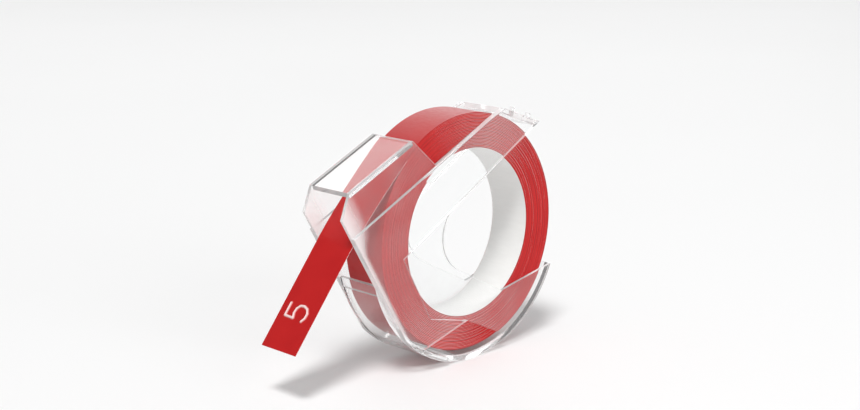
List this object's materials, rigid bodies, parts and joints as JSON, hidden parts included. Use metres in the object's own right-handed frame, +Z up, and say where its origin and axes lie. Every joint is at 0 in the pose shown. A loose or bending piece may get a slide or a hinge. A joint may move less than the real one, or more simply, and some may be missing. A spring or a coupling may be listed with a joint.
{
  "type": "embossing tape refill",
  "caption": "Coil of self-adhesive embossing tape in a clear two-part magazine, with its free end drawn out of the nose.",
  "frame": {"origin": "on the coil's axis, at the middle of the tape's width", "axes": "+Y along the coil's axis, to the back side plate; +Z up as the magazine stands on its round shell; the nose points to -X"},
  "size_m": [0.0642, 0.012, 0.0466],
  "materials": {
    "clear_plastic": "clear moulded, polished",
    "red_film": "satin gloss",
    "release_paper": "coated paper"
  },
  "bodies": {
    "magazine": {"back_tray": "clear_plastic", "front_cover": "clear_plastic"},
    "coil": {"coil_film": "red_film", "coil_liner": "release_paper"},
    "tape_feed": {"run_film": "red_film", "run_liner": "release_paper"},
    "tape_tail": {"tail_film": "red_film", "tail_liner": "release_paper"}
  },
  "joints": [
    {"name": "coil_turn", "type": "hinge", "parent": "magazine", "child": "coil", "pos_m": [0, 0, 0], "axis": [0, -1, 0], "range_deg": [0, 29]},
    {"name": "tape_pull", "type": "slide", "parent": "magazine", "child": "tape_feed", "axis": [-0.6157, 0, -0.788], "range_m": [0, 0.0114]},
    {"name": "tail_flex", "type": "hinge", "parent": "tape_feed", "child": "tape_tail", "pos_m": [-0.02835, 0, 0.00229], "axis": [0, 1, 0], "range_deg": [-8, 30], "stiffness_Nm_per_rad": 0.00089}
  ],
  "couplings": [
    {"joint": "tape_pull", "follows": "coil_turn", "m_per_rad": 0.02242}
  ]
}
